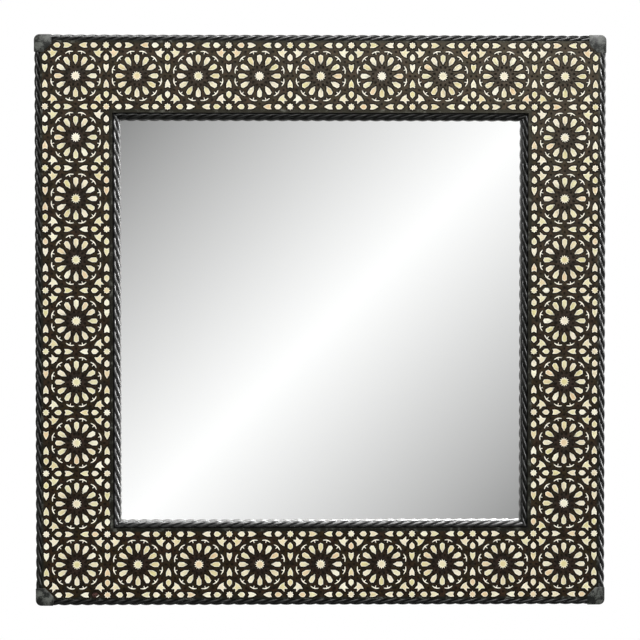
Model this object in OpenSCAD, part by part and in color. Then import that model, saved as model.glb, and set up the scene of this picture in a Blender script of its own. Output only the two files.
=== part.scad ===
// Square wall mirror with a wide inlaid frame.
// The frame is four mitred rails faced with pierced fretwork, whose pockets hold pale inlay pieces
// in a twelve-fold rosette pattern. Rope mouldings edge it outside and round the glass.
// The mirror stands upright: +Z is up, the front faces -Y, and the rails' backs lie on Y = 0.

/* [Pattern] */
// Width of one square rosette tile
tile_pitch = 81.5; // [70:0.5:95]
// Rosette tiles along each side of the frame
tiles_per_side = 9; // [7:1:11]
// Play round each inlay piece in its pocket
inlay_play = 0.15; // [0.05:0.05:0.3]
// Thickness of the fretwork panel and of its inlay
panel_t = 2.5; // [1.5:0.1:5]

/* [Frame] */
// Plain margin of the fretwork outside the tiles
outer_margin = 6.25; // [5:0.25:10]
// Plain margin of the fretwork inside the tiles
inner_margin = 7.9; // [6:0.1:12]
// How far the rails' sides stand back from the outer edge of the rope
side_inset = 1.2; // [0:0.1:3]
// Thickness of the lip that holds the glass and carries the inner rope
lip_t = 4; // [3:0.5:8]
// Step down from the rails' face to the lip
lip_drop = 4; // [3.5:0.1:6]
// How far the inner rope stands out over the lip's edge
lip_setback = 0.6; // [0:0.1:2]

/* [Rope moulding] */
// Radius of the rope moulding
rope_r = 4.8; // [4:0.1:6]
// Distance from the rope's middle to the flat planed on one side of it
rope_flat = 3.2; // [2.6:0.1:3.8]
// Play between a rope and the ledge or wall that it lies along
rope_play = 0.2; // [0.1:0.05:0.4]

/* [Corner blocks] */
// Length of a corner block along the frame's edges
block_reach = 23.4; // [18:0.1:26]
// Width of a corner block at its ends
block_end = 12.6; // [10:0.1:14]
// Radius of a corner block's outer corner
block_r = 5; // [2:0.5:9]
// Play between a corner block and the ropes' ends and the fretwork
block_play = 0.1; // [0.05:0.05:0.3]

/* [Mirror and back] */
// Thickness of the mirror glass
glass_t = 4; // [3:0.5:6]
// Thickness of the card between the glass and the backing board
card_t = 3; // [1:0.5:5]
// Thickness of the backing board
board_t = 3; // [2:0.5:6]
// How far the lip covers the edge of the glass
glass_cover = 8; // [5:0.5:9]
// Play round the glass, card and board in their rebate
glass_play = 1; // [0.5:0.1:2]

/* [Mitre splines] */
// Length of the hidden spline along each mitre
spline_len = 70; // [40:5:90]
// Width of the spline across the mitre
spline_w = 30; // [16:1:40]
// Thickness of the spline
spline_t = 4; // [2:0.5:6]
// Play round the spline in its slots
spline_play = 0.1; // [0.05:0.05:0.3]

/* [Screws] */
// Radius of the screw shanks
screw_r = 1.75; // [1.25:0.05:2.25]
// Length of the screws in the wood
screw_len = 14; // [8:1:15]
// Radius of the screw heads
head_r = 3.8; // [3:0.1:4.5]
// Height of the screw heads
head_t = 2; // [1.2:0.1:3]
// Width of the slot in the heads
head_slot = 0.9; // [0.6:0.1:1.4]
// Play between a shank and its pilot hole
thread_play = 0.05; // [0.02:0.01:0.1]
// Play of a screw in the metal that it holds
shank_play = 0.3; // [0.15:0.05:0.5]
// Gap under the heads of the turn button screws
turn_play = 0.1; // [0.05:0.05:0.3]

/* [Turn buttons] */
// Width of a turn button
button_w = 12; // [10:0.5:16]
// Distance between the middles of a turn button's round ends
button_len = 18; // [14:1:24]
// Thickness of a turn button
button_t = 1.6; // [1:0.1:3]
// Distance of a turn button's screw from the rebate
button_setback = 12; // [9:0.5:13]
// Distance of the turn buttons from the corners of the opening
button_corner = 130; // [90:5:150]

/* [Hangers] */
// Distance of the strap hangers' eyes from the top edge
hang_drop = 150; // [120:5:240]
// Distance of the strap hangers from the side edges
hang_inset = 56; // [40:1:66]
// Width of a hanger strap
strap_w = 13; // [10:0.5:14]
// Thickness of a hanger strap
strap_t = 1.2; // [0.8:0.1:1.8]
// Length of a hanger strap below its eye
strap_len = 45; // [42:1:60]
// Distance of the upper strap screw below the eye
strap_hole = 27; // [25:0.5:30]
// Distance between the strap's two screws
strap_hole_gap = 12; // [9:0.5:13]
// Radius of the D-ring's wire
wire_r = 1.4; // [1:0.1:1.8]
// Play round the wire in the eye
eye_play = 0.25; // [0.15:0.05:0.35]
// Gap between the eye's back and the rail
eye_lift = 0.2; // [0.1:0.05:0.4]
// Half the width of the D-ring between the middles of its legs
ring_r = 10.2; // [9.6:0.1:12]
// Bend radius of the D-ring's upper corners
ring_bend = 3; // [2.5:0.1:3.2]
// Length of the D-ring's straight legs
ring_leg = 4; // [1:0.5:6]

/* [Wall bumpers] */
// Radius of the bumpers that keep the frame off the wall, where they meet the rails
bumper_r = 8; // [5:0.5:12]
// Radius of the bumpers' faces against the wall
bumper_face_r = 6.8; // [4:0.1:12]
// Height of the bumpers
bumper_t = 6; // [3:0.5:8]
// Distance of the bumpers from the frame's edges
bumper_inset = 30; // [20:1:60]

/* [Hidden] */
$fn = 64;

// Colours of the preview
ebonised = "#322b26";
lattice = "#3f362e";
rope_black = "#3d3e3f";
bone = "#e6dcb9";
silvered = "#d5dadb";
card_grey = "#8f8778";
board_brown = "#6b4d33";
steel = "#a9abab";
soft_black = "#262626";

// Distances inwards from the frame's outer edge
fret_out = rope_r + rope_flat;
tile_out = fret_out + outer_margin;
tile_in = tile_out + tile_pitch;
fret_in = tile_in + inner_margin;
rope_in = fret_in + rope_play + rope_r;
sight = rope_in + rope_r;
lip_edge = sight - lip_setback;
glass_edge = lip_edge - glass_cover;
rebate = glass_edge - glass_play;
half = tiles_per_side * tile_pitch / 2 + tile_out;

// Heights above the plane of the rails' backs, towards the viewer
card_h = board_t;
glass_h = card_h + card_t;
lip_h = glass_h + glass_t;
lip_face = lip_h + lip_t;
rail_face = lip_face + lip_drop;
panel_face = rail_face + panel_t;
rope_h = lip_face + rope_flat;
rope_front = rope_h + rope_r;
ledge = rope_h - rope_r - rope_play;

// Places of the back's hardware, with the frame seen from the front
pivot = half - rebate + button_setback;
button_x = half - sight - button_corner;
button_pivots = [for (k = [0:3], s = [-1, 1]) turned([s * button_x, pivot], 90 * k)];
hang_x = half - hang_inset;
hang_y = half - hang_drop;
eye_r = wire_r + eye_play;
eye_h = -(eye_lift + eye_r + strap_t);
strap_holes = [strap_hole, strap_hole + strap_hole_gap];
strap_screws = [for (s = [-1, 1], d = strap_holes) [s * hang_x, hang_y - d]];

// Half outlines of the inlay pieces, from end to end, in shares of the tile's width.
// A rosette piece is measured outwards from the tile's middle, an edge piece along the tile's
// edge from its midpoint.
petal_half = [[0.187, 0], [0.256, 0.043], [0.335, 0.043], [0.353, 0]];
tulip_half = [[0.473, 0], [0.497, 0.079], [0.548, 0.043], [0.608, 0.038], [0.578, 0]];
dart_half = [[0.057, 0], [0.137, 0.044], [0.199, 0.043], [0.182, 0]];
bead_half = [[0.242, 0], [0.273, 0.044], [0.322, 0.044], [0.367, 0]];
centre_reach = 0.077;
star_reach = 0.055;

function unit(v) = v / norm(v);
function reversed(p) = [for (i = [len(p) - 1:-1:0]) p[i]];
function turned(p, a) = [p.x * cos(a) - p.y * sin(a), p.x * sin(a) + p.y * cos(a)];
function placed(shape, p) = [for (q = shape) [p.x, p.y] + turned(q, p.z)];
// A whole outline from its half, without a second copy of the points on its axis
function whole(h) = tile_pitch * concat([for (q = h) [q.x, -q.y]],
    [for (q = reversed(h)) if (q.y > 0) q]);
function star(reach, n) = reach * tile_pitch * [for (i = [0:n - 1])
    [cos(360 * i / n), sin(360 * i / n)]];
// The outline moved outwards by c, for the pocket that takes it
function grown(p, c) = [for (i = [0:len(p) - 1])
    let (a = unit(p[i] - p[(i + len(p) - 1) % len(p)]), b = unit(p[(i + 1) % len(p)] - p[i]))
    p[i] + c * [a.y + b.y, -a.x - b.x] / (1 + a * b)];

// Shapes and places of the six kinds of inlay, with places as x, y and angle
shapes = [star(centre_reach, 12), whole(petal_half), whole(tulip_half), whole(dart_half),
    whole(bead_half), star(star_reach, 8)];
last = tiles_per_side - 1;
function along(i) = (i - last / 2) * tile_pitch;
function tile_here(i, j) = min(i, j) >= 0 && max(i, j) <= last
    && (min(i, j) == 0 || max(i, j) == last);
function corner_here(i, j) = !((i < 0 || i == last) && (j < 0 || j == last))
    && (tile_here(i, j) || tile_here(i + 1, j) || tile_here(i, j + 1) || tile_here(i + 1, j + 1));
tiles = [for (i = [0:last], j = [0:last]) if (tile_here(i, j)) [along(i), along(j)]];
edges = [for (i = [-1:last], j = [0:last]) if (tile_here(i, j) || tile_here(i + 1, j))
    each [[along(i + 0.5), along(j), 90], [along(j), along(i + 0.5), 0]]];
corners = [for (i = [-1:last], j = [-1:last]) if (corner_here(i, j))
    [along(i + 0.5), along(j + 0.5), 0]];
function round_tiles(n, start) = [for (t = tiles, k = [0:n - 1]) [t.x, t.y, start + 360 * k / n]];
along_edges = [for (e = edges, k = [0, 180]) [e.x, e.y, e.z + k]];
places = [round_tiles(1, 0), round_tiles(12, 0), round_tiles(4, 45), along_edges, along_edges,
    corners];

// Stands a shape drawn in plan, seen from the front, upright
module upright() {
    rotate([90, 0, 0]) children();
}

// Turns what is drawn for the top side to a side: 0 top, 1 left, 2 bottom, 3 right
module on_side(k) {
    rotate([0, 0, 90 * k]) children();
}

// Everything on the top side between the two mitres
module between_mitres(low, high) {
    translate([0, 0, low]) linear_extrude(high - low)
        polygon([[0, 0], [half, half], [-half, half]]);
}

// A section drawn as [distance inwards, height], run along the top side
module along_top(points) {
    rotate([90, 0, 90]) linear_extrude(2 * half, center = true)
        polygon([for (q = points) [half - q[0], q[1]]]);
}

module rail(k) {
    color(ebonised) upright() difference() {
        on_side(k) intersection() {
            along_top([[side_inset, 0], [rebate, 0], [rebate, lip_h], [lip_edge, lip_h],
                [lip_edge, lip_face], [fret_in, lip_face], [fret_in, rail_face],
                [fret_out, rail_face], [fret_out, ledge], [side_inset, ledge]]);
            between_mitres(0, rail_face);
        }
        for (a = [90 * k - 45, 90 * k + 45]) spline(a, spline_play);
        for (p = concat(button_pivots, strap_screws)) pilot_hole(p);
    }
}

module pilot_hole(p) {
    translate([p.x, p.y, 0])
        cylinder(r = screw_r + thread_play, h = 2 * screw_len, center = true);
}

// A flat spline across one mitre, on the diagonal at angle a from the top's middle
module spline(a, play) {
    rotate([0, 0, a]) translate([0, (half - fret_out - tile_pitch / 2) * sqrt(2), rail_face / 2])
        cube([spline_w + 2 * play, spline_len + 2 * play, spline_t + 2 * play], center = true);
}

module mitre_splines() {
    color("burlywood") upright() for (a = [45:90:315]) spline(a, 0);
}

// Outline of the fretwork's end at a corner block, as [x, y] for the top left corner
function end_points() = let (r = block_reach + block_play, e = block_end + block_play)
    [[fret_out - half, half - r], [e - half, half - r], [r - half, half - e],
    [r - half, half - fret_out]];
function flipped(p) = [for (q = reversed(p)) [-q.x, q.y]];
joint = half - tile_in;
inside = half - fret_in;

// Top strip, over the whole width, with its joints on the inner tile line
top_strip = concat(end_points(), flipped(end_points()),
    [[half - fret_out, joint], [inside, joint], [inside, inside], [-inside, inside],
    [-inside, joint], [fret_out - half, joint]]);
// Side strip between the top and bottom ones, drawn for the left side as the top
side_strip = [[-joint, half - fret_out], [joint, half - fret_out], [joint, inside], [-joint, inside]];

// Is a place on one of the tiles of this side, or on their edges?
function on_strip(p, k) = let (q = turned([p.x, p.y], -90 * k))
    q.y > joint - tile_pitch / 4 && (k % 2 == 0 || abs(q.x) < joint + tile_pitch / 4);

module fretwork(k) {
    color(lattice) upright() translate([0, 0, rail_face]) linear_extrude(panel_t) difference() {
        polygon(placed(k % 2 == 0 ? top_strip : side_strip, [0, 0, 90 * k]));
        for (i = [0:len(shapes) - 1]) pockets(grown(shapes[i], inlay_play), places[i], k);
    }
}

module pockets(shape, at, k) {
    for (p = at) if (on_strip(p, k)) polygon(placed(shape, p));
}

module inlay(i) {
    color(bone) upright() translate([0, 0, rail_face]) linear_extrude(panel_t)
        for (p = places[i]) polygon(placed(shapes[i], p));
}

// Rope along x, with its flat side on z = -rope_flat
module rope(len) {
    difference() {
        rotate([0, 90, 0]) cylinder(r = rope_r, h = len, center = true);
        translate([0, 0, -rope_flat - rope_r])
            cube([2 * len, 3 * rope_r, 2 * rope_r], center = true);
    }
}

module outer_rope(k) {
    color(rope_black) upright() on_side(k) translate([0, half - rope_r, rope_h])
        rotate([90, 0, 0]) mirror([0, 0, 1]) rope(2 * (half - block_reach - block_play));
}

module inner_rope(k) {
    color(rope_black) upright() on_side(k) intersection() {
        translate([0, half - rope_in, rope_h]) rope(2 * half);
        between_mitres(lip_face, rope_front);
    }
}

// A block over each corner of the frame, between the ends of the outer ropes
module corner_block() {
    arc = [for (a = [270:-15:180]) block_r * [1 + cos(a), 1 + sin(a)]];
    outline = concat(arc, [[0, block_reach], [block_end, block_reach], [block_reach, block_end],
        [block_reach, 0]]);
    translate([-half, half, 0]) mirror([0, 1, 0]) difference() {
        translate([0, 0, ledge]) linear_extrude(rope_front - ledge) polygon(outline);
        translate([fret_out, fret_out, 0]) cube([block_reach, block_reach, rail_face]);
    }
}

module corner_blocks() {
    color(ebonised) upright() for (k = [0:3]) on_side(k) corner_block();
}

// A square sheet in the rebate, from height low, t thick
module sheet(reach, low, t) {
    upright() translate([-reach, -reach, low]) cube([2 * reach, 2 * reach, t]);
}

module mirror_glass() {
    color(silvered) sheet(half - glass_edge, glass_h, glass_t);
}

module spacer_card() {
    color(card_grey) sheet(half - glass_edge, card_h, card_t);
}

module backing_board() {
    color(board_brown) sheet(half - glass_edge, 0, board_t);
}

// A screw from the back, whose head's underside is t behind the rails
module screw(p, t) {
    translate([p.x, p.y, -t]) difference() {
        union() {
            cylinder(r = screw_r, h = screw_len + t);
            translate([0, 0, -head_t]) cylinder(r = head_r, h = head_t);
        }
        translate([0, 0, -head_t]) cube([3 * head_r, head_slot, head_t], center = true);
    }
}

module turn_button_screws() {
    color(steel) upright() for (p = button_pivots) screw(p, button_t + turn_play);
}

module hanger_screws() {
    color(steel) upright() for (p = strap_screws) screw(p, strap_t);
}

// Turn button number i, over the edge of the backing board
module turn_button(i) {
    p = button_pivots[i];
    color(steel) upright() translate([p.x, p.y, -button_t]) rotate([0, 0, 90 * floor(i / 2)])
        difference() {
            union() {
                cylinder(r = button_w / 2, h = button_t);
                translate([0, -button_len, 0]) cylinder(r = button_w / 2, h = button_t);
                translate([-button_w / 2, -button_len, 0]) cube([button_w, button_len, button_t]);
            }
            cylinder(r = screw_r + shank_play, h = 3 * button_t, center = true);
        }
}

// Strap with an eye at its top, screwed to the back of a side rail at x
module hanger_strap(x) {
    color(steel) upright() translate([x, hang_y, 0]) difference() {
        union() {
            translate([0, 0, eye_h]) rotate([0, 90, 0])
                cylinder(r = eye_r + strap_t, h = strap_w, center = true);
            translate([-strap_w / 2, -strap_len, -strap_t]) cube([strap_w, strap_len, strap_t]);
        }
        translate([0, 0, eye_h]) rotate([0, 90, 0]) cylinder(r = eye_r, h = 2 * strap_w, center = true);
        for (d = strap_holes) translate([0, -d, 0])
            cylinder(r = screw_r + shank_play, h = 4 * strap_t, center = true);
    }
}

// D-ring hanging from the eye at x: bar, two bent corners, two legs and a half circle
module d_ring(x) {
    bar = ring_r - ring_bend;
    color(steel) upright() translate([x, hang_y, eye_h]) union() {
        rotate([0, 90, 0]) cylinder(r = wire_r, h = 2 * bar, center = true);
        for (s = [0, 1]) mirror([s, 0, 0]) {
            translate([bar, -ring_bend, 0]) rotate_extrude(angle = 90)
                translate([ring_bend, 0]) circle(r = wire_r);
            translate([ring_r, -ring_bend, 0]) rotate([90, 0, 0]) cylinder(r = wire_r, h = ring_leg);
        }
        translate([0, -ring_bend - ring_leg, 0]) rotate([0, 0, 180]) rotate_extrude(angle = 180)
            translate([ring_r, 0]) circle(r = wire_r);
    }
}

module wall_bumpers() {
    at = half - bumper_inset;
    color(soft_black) upright() for (s = [-1, 1]) translate([s * at, -at, -bumper_t])
        cylinder(r1 = bumper_face_r, r2 = bumper_r, h = bumper_t);
}

rail(0);  // top_rail
rail(1);  // left_rail
rail(2);  // bottom_rail
rail(3);  // right_rail
mitre_splines();
fretwork(0);  // fretwork_top
fretwork(1);  // fretwork_left
fretwork(2);  // fretwork_bottom
fretwork(3);  // fretwork_right
inlay(0);  // inlay_rosette_centres
inlay(1);  // inlay_petals
inlay(2);  // inlay_tulips
inlay(3);  // inlay_darts
inlay(4);  // inlay_beads
inlay(5);  // inlay_corner_stars
outer_rope(0);  // outer_rope_top
outer_rope(1);  // outer_rope_left
outer_rope(2);  // outer_rope_bottom
outer_rope(3);  // outer_rope_right
inner_rope(0);  // inner_rope_top
inner_rope(1);  // inner_rope_left
inner_rope(2);  // inner_rope_bottom
inner_rope(3);  // inner_rope_right
corner_blocks();
mirror_glass();
spacer_card();
backing_board();
hanger_strap(-hang_x);  // hanger_strap_left
hanger_strap(hang_x);  // hanger_strap_right
hanger_screws();
d_ring(-hang_x);  // d_ring_left
d_ring(hang_x);  // d_ring_right
turn_button_screws();
wall_bumpers();
turn_button(0);  // turn_button_1
turn_button(1);  // turn_button_2
turn_button(2);  // turn_button_3
turn_button(3);  // turn_button_4
turn_button(4);  // turn_button_5
turn_button(5);  // turn_button_6
turn_button(6);  // turn_button_7
turn_button(7);  // turn_button_8
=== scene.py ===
"""Looks of a square wall mirror in a wide inlaid frame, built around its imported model.

The file is laid out as an add-on. Sizes and colours are properties of the scene, each piece or
group of like pieces has an operator, and main() calls the operators in order. Lengths are metres.
The mirror stands upright in the XZ plane, with its front to -Y.
"""

import math
import random

import bpy
from mathutils import Matrix, Vector


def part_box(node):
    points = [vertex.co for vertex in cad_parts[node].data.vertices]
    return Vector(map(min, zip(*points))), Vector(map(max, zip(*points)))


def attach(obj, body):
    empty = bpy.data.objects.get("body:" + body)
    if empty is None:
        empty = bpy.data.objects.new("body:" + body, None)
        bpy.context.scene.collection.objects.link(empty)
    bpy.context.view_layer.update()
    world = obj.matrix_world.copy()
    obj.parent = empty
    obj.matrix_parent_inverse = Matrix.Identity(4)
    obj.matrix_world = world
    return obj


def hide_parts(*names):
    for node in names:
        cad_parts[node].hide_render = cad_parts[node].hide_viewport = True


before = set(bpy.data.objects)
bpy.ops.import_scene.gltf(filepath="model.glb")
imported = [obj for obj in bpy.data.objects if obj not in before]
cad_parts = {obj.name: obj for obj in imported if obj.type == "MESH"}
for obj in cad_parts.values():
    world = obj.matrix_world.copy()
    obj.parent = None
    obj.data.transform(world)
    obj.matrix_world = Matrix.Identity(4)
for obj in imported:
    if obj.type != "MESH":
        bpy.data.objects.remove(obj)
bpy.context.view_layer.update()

bl_info = {
    "name": "Inlaid Mirror",
    "version": (1, 0, 0),
    "blender": (4, 5, 0),
    "location": "View3D > Sidebar > Mirror",
    "description": "Dresses the parts of a square mirror in an inlaid frame",
    "category": "Object",
}

MM = 0.001
SIDES = ("top", "left", "bottom", "right")
# What takes a piece from the top to each side, as x, z and angle
QUARTER_TURNS = [(0, 0, math.radians(90 * k)) for k in range(4)]

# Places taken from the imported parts
TILES = 9
LAST = TILES - 1
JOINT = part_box("fretwork_left")[1].z
PITCH = JOINT / (TILES / 2 - 1)
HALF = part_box("corner_blocks")[1].x
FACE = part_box("fretwork_top")[0].y
PANEL_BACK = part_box("fretwork_top")[1].y
FRET_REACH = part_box("fretwork_top")[1].x
FRET_INSIDE = -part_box("fretwork_left")[1].x
# Depth of a corner block where it ends, from the frame's outer edge
BLOCK_END = 12.6 * MM
ROPE_LOW, ROPE_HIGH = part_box("outer_rope_top")
ROPE_END = ROPE_HIGH.x
ROPE_R = (ROPE_HIGH.y - ROPE_LOW.y) / 2
ROPE_Y = (ROPE_HIGH.y + ROPE_LOW.y) / 2
LIP_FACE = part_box("inner_rope_top")[1].y
INNER_ROPE_Z = (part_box("inner_rope_top")[0].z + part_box("inner_rope_top")[1].z) / 2

# Half outlines of the inlay pieces, from end to end, in shares of a tile. A rosette piece is
# measured outwards from the tile's middle, an edge piece along the edge from its midpoint.
PETAL = ((0.1875, 0), (0.201, 0.0085), (0.22, 0.0165), (0.25, 0.035), (0.265, 0.0383),
         (0.3285, 0.0385), (0.339, 0.022), (0.351, 0))
SLIVER = ((0.366, 0), (0.366, 0.0055), (0.396, 0.0065), (0.401, 0.012), (0.3955, 0.038),
          (0.388, 0.0605), (0.3935, 0.068), (0.404, 0.0565), (0.411, 0.038), (0.418, 0.016),
          (0.4185, 0))
SLIVER_POCKET = ((0.357, 0), (0.359, 0.012), (0.369, 0.046), (0.374, 0.063), (0.39, 0.078),
                 (0.411, 0.064), (0.421, 0.041), (0.43, 0.018), (0.431, 0))
TULIP = ((0.477, 0), (0.486, 0.048), (0.4965, 0.0765), (0.507, 0.064), (0.533, 0.038),
         (0.571, 0.0372), (0.609, 0.0365), (0.5685, 0))
DART = ((0.0565, 0), (0.107, 0.0312), (0.139, 0.0412), (0.195, 0.0405), (0.1855, 0.019),
        (0.1765, 0))
BEAD = ((0.2445, 0), (0.266, 0.0355), (0.283, 0.041), (0.315, 0.0405), (0.331, 0.0315),
        (0.363, 0))
# What is left of the lost bead, as a whole outline
CHIP = ((0.312, -0.04), (0.332, -0.034), (0.352, -0.016), (0.362, 0.006), (0.349, -0.006),
        (0.335, -0.018), (0.318, -0.028))
# Radii of the round pieces, and of the rings of dots and pits, in shares of a tile
HUB_TIPS, HUB_NOTCHES, HUB_POCKET = 0.081, 0.0525, 0.088
STAR_TIPS, STAR_NOTCHES = 0.057, 0.0405
HUB_DOTS_AT, PITS_AT = 0.148, 0.455
# Points along the arc of each strand, and sections in each turn of a rope
ARC_POINTS, TURN_SECTIONS = 10, 24
# How far along each rope its strands start, in mm, in the order of SIDES
ROPE_STARTS = {"outer": (2.6, -1.0, 8.3, 9.8), "inner": (11.2, 8.5, 0.8, 10.8)}

# Tones of the bone along a ramp, as place, red, green and blue
BONE_TONES = ((0.0, 0.72, 0.53, 0.29), (0.12, 0.75, 0.6, 0.39), (0.25, 0.66, 0.61, 0.28),
              (0.38, 0.73, 0.64, 0.41), (0.48, 0.76, 0.68, 0.5), (0.58, 0.71, 0.67, 0.38),
              (0.68, 0.77, 0.71, 0.49), (0.78, 0.8, 0.73, 0.59), (0.88, 0.8, 0.77, 0.56),
              (1.0, 0.86, 0.83, 0.68))
PORE_BLACK = (0, 0, 0, 1)
# Each lamp's name, place and size, and whether it shows only in gloss
LAMPS = (
    ("key", (0.5, -2.1, 1.3), 1.2, False), ("sheen", (0.6, -2.2, 1.8), 0.8, True),
    ("top", (-0.4, -1.0, 1.8), 1.1, True), ("right", (2.2, -0.7, 0.2), 1.1, True),
    ("fill", (-1.7, -1.8, 0.3), 1.4, False), ("back", (0.7, 2.2, 1.2), 1.2, False),
)


def length_value(name, description, default, low, high):
    """A property that is a length, in metres."""
    return bpy.props.FloatProperty(
        name=name, description=description, default=default, min=low, max=high, unit="LENGTH")


def colour_value(name, description, red, green, blue):
    """A property that is a colour."""
    return bpy.props.FloatVectorProperty(
        name=name, description=description, default=(red, green, blue, 1), size=4,
        subtype="COLOR")


def power_value(name, description, default):
    """A property that is the power of a lamp."""
    return bpy.props.FloatProperty(
        name=name, description=description, default=default, min=0, max=500, unit="POWER")


class PatternSizes(bpy.types.PropertyGroup):
    """Sizes of the inlay and of the lattice round it."""

    line_width: length_value(
        "Black line", "Width of the black line round each inlay piece",
        1.65 * MM, 0.3 * MM, 2 * MM)
    line_depth: length_value(
        "Line depth", "How far the black line lies below the face",
        0.5 * MM, 0.1 * MM, 1.5 * MM)
    polished_edge: length_value(
        "Polished edge", "Width of the worn edge of each inlay piece",
        0.18 * MM, 0.05 * MM, 0.4 * MM)
    # How wide the painted highlight along the edge of each inlay piece is
    painted_rim_highlight: length_value(
        "Pale rim", "Width over which an inlay piece is paler at its edge",
        0.95 * MM, 0.1 * MM, 1.5 * MM)
    pit_radius: length_value(
        "Pits", "Radius of the drilled pits where the straps cross",
        1.65 * MM, 0.3 * MM, 2 * MM)
    seed: bpy.props.IntProperty(
        name="Seed", description="Start of the draws that give each inlay piece its tone",
        default=11, min=0)


class RopeSizes(bpy.types.PropertyGroup):
    """Lay of the carved rope mouldings."""

    strands: bpy.props.IntProperty(
        name="Strands", description="Strands in the rope", default=3, min=2, max=5)
    lead: length_value(
        "Lead", "Length of rope in which a strand goes once round", 46.9 * MM, 20 * MM, 90 * MM)
    strand_radius: length_value(
        "Strand radius", "Radius of one strand", 2.5 * MM, 2.3 * MM, 4 * MM)


class FinishColours(bpy.types.PropertyGroup):
    """Colours of the finishes."""

    strap_olive: colour_value(
        "Strap, olive", "Stained lattice where it is greenish brown", 0.0175, 0.0105, 0.001)
    strap_brown: colour_value(
        "Strap, brown", "Stained lattice where it is reddish brown", 0.023, 0.009, 0.0035)
    hub: colour_value(
        "Hub", "Purplish stain in the middle of the rosettes", 0.02, 0.0105, 0.0095)
    tarnish: colour_value(
        "Tarnish", "Bluish black patches on the lattice", 0.004, 0.0045, 0.005)
    line: colour_value(
        "Black line", "Mastic round the inlay pieces", 0.0035, 0.002, 0.0006)
    black: colour_value(
        "Black paint", "Greenish black of the margins and corner blocks", 0.0045, 0.0052, 0.004)
    worn: colour_value(
        "Worn paint", "Grey where the black paint is rubbed", 0.088, 0.093, 0.082)
    rope: colour_value(
        "Rope", "Black of the rope mouldings", 0.0025, 0.0025, 0.0021)
    # Grey of the crests: partly rubbed paint, partly painted highlight
    rope_crest_rub_and_highlight: colour_value(
        "Rope crests", "Grey on the crests of the strands", 0.0095, 0.0097, 0.0088)


class StudioSettings(bpy.types.PropertyGroup):
    """Camera, lamps and background."""

    distance: length_value(
        "Distance", "Distance from the camera to the rails' backs", 2.4, 1, 6)
    side: length_value(
        "Side step", "How far the camera stands to the left", 0.0327, -1, 1)
    rise: length_value(
        "Rise", "How far the camera stands above the mirror's middle", 0.055, -1, 1)
    aim: bpy.props.FloatVectorProperty(
        name="Aim", description="Where the camera points, across and up",
        size=2, subtype="TRANSLATION", default=(-0.00074, 0.00077))
    lens: bpy.props.FloatProperty(
        name="Lens", description="Focal length in millimetres", default=100.27, min=20, max=200)
    world_light: bpy.props.FloatProperty(
        name="World light", description="Strength of the light from all round",
        default=0.52, min=0, max=2)
    key_power: power_value("Key lamp", "Soft lamp above and in front", 31)
    sheen_power: power_value(
        "Sheen lamp", "Upper right, seen only in gloss, as a sheen on the top", 360)
    top_power: power_value("Top lamp", "Its gloss runs along the ropes from above", 115)
    right_power: power_value("Right lamp", "Its gloss shows on the ropes' right", 260)
    fill_power: power_value("Fill lamp", "Soft lamp at the left", 12)
    back_power: power_value("Back lamp", "Soft lamp behind", 26)


# Where the pattern's pieces lie

def along(i):
    """Distance of tile i's middle from the frame's middle."""
    return (i - LAST / 2) * PITCH


def tile_here(i, j):
    """Is there a tile in column i and row j? Only the outer ring has them."""
    return min(i, j) >= 0 and max(i, j) <= LAST and (min(i, j) == 0 or max(i, j) == LAST)


def corner_here(i, j):
    """Is there a star at the upper right corner of tile i, j? The blocks take the outer four."""
    at_block = i in (-1, LAST) and j in (-1, LAST)
    return not at_block and any(tile_here(i + a, j + b) for a in (0, 1) for b in (0, 1))


def turned(x, z, angle):
    """The point x, z turned about the middle."""
    return (x * math.cos(angle) - z * math.sin(angle), x * math.sin(angle) + z * math.cos(angle))


def on_side(place, k):
    """Is this place on side k's fretwork, or on the line where it meets the next? None is all."""
    if k is None:
        return True
    x, z = turned(place[0], place[1], math.radians(-90 * k))
    near = PITCH / 4
    return z > JOINT - near and (k % 2 == 0 or abs(x) < JOINT + near)


def round_tiles(k, count, start=0.0, reach=0.0):
    """Places round every tile's middle, as x, z and angle, moved outwards by a share of a tile."""
    cells = [(i, j) for i in range(TILES) for j in range(TILES)]
    tiles = [(along(i), along(j)) for i, j in cells if tile_here(i, j)]
    places = []
    for x, z in [tile for tile in tiles if on_side(tile, k)]:
        for n in range(count):
            angle = math.radians(start + 360 * n / count)
            out, up = turned(reach * PITCH, 0, angle)
            places.append((x + out, z + up, angle))
    return places


def edge_places(k):
    """Midpoint of every tile edge, twice, as x, z and the two directions along the edge."""
    places = []
    for i in range(-1, TILES):
        for j in range(TILES):
            if tile_here(i, j) or tile_here(i + 1, j):
                for turn in (0, math.pi):
                    places.append((along(i + 0.5), along(j), math.pi / 2 + turn))
                    places.append((along(j), along(i + 0.5), turn))
    return [place for place in places if on_side(place, k)]


def corner_places(k):
    """Every tile corner that has a star, as x, z and angle."""
    spots = [(i, j) for i in range(-1, TILES) for j in range(-1, TILES) if corner_here(i, j)]
    places = [(along(i + 0.5), along(j + 0.5), 0.0) for i, j in spots]
    return [place for place in places if on_side(place, k)]


# Outlines in plan, as lists of (x, z) that run anticlockwise seen from the front

def whole(half):
    """A piece's whole outline from its half, in metres."""
    back = [(u, v) for u, v in reversed(half) if v > 0]
    return [(PITCH * u, PITCH * v) for u, v in [(u, -v) for u, v in half] + back]


def star(tips, notches, count):
    """A star with its first tip on the x axis."""
    reach = (PITCH * tips, PITCH * notches)
    return [turned(reach[k % 2], 0, math.pi * k / count) for k in range(2 * count)]


def disc(radius, count):
    """A regular outline with this many corners."""
    return [turned(radius, 0, 2 * math.pi * k / count) for k in range(count)]


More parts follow.
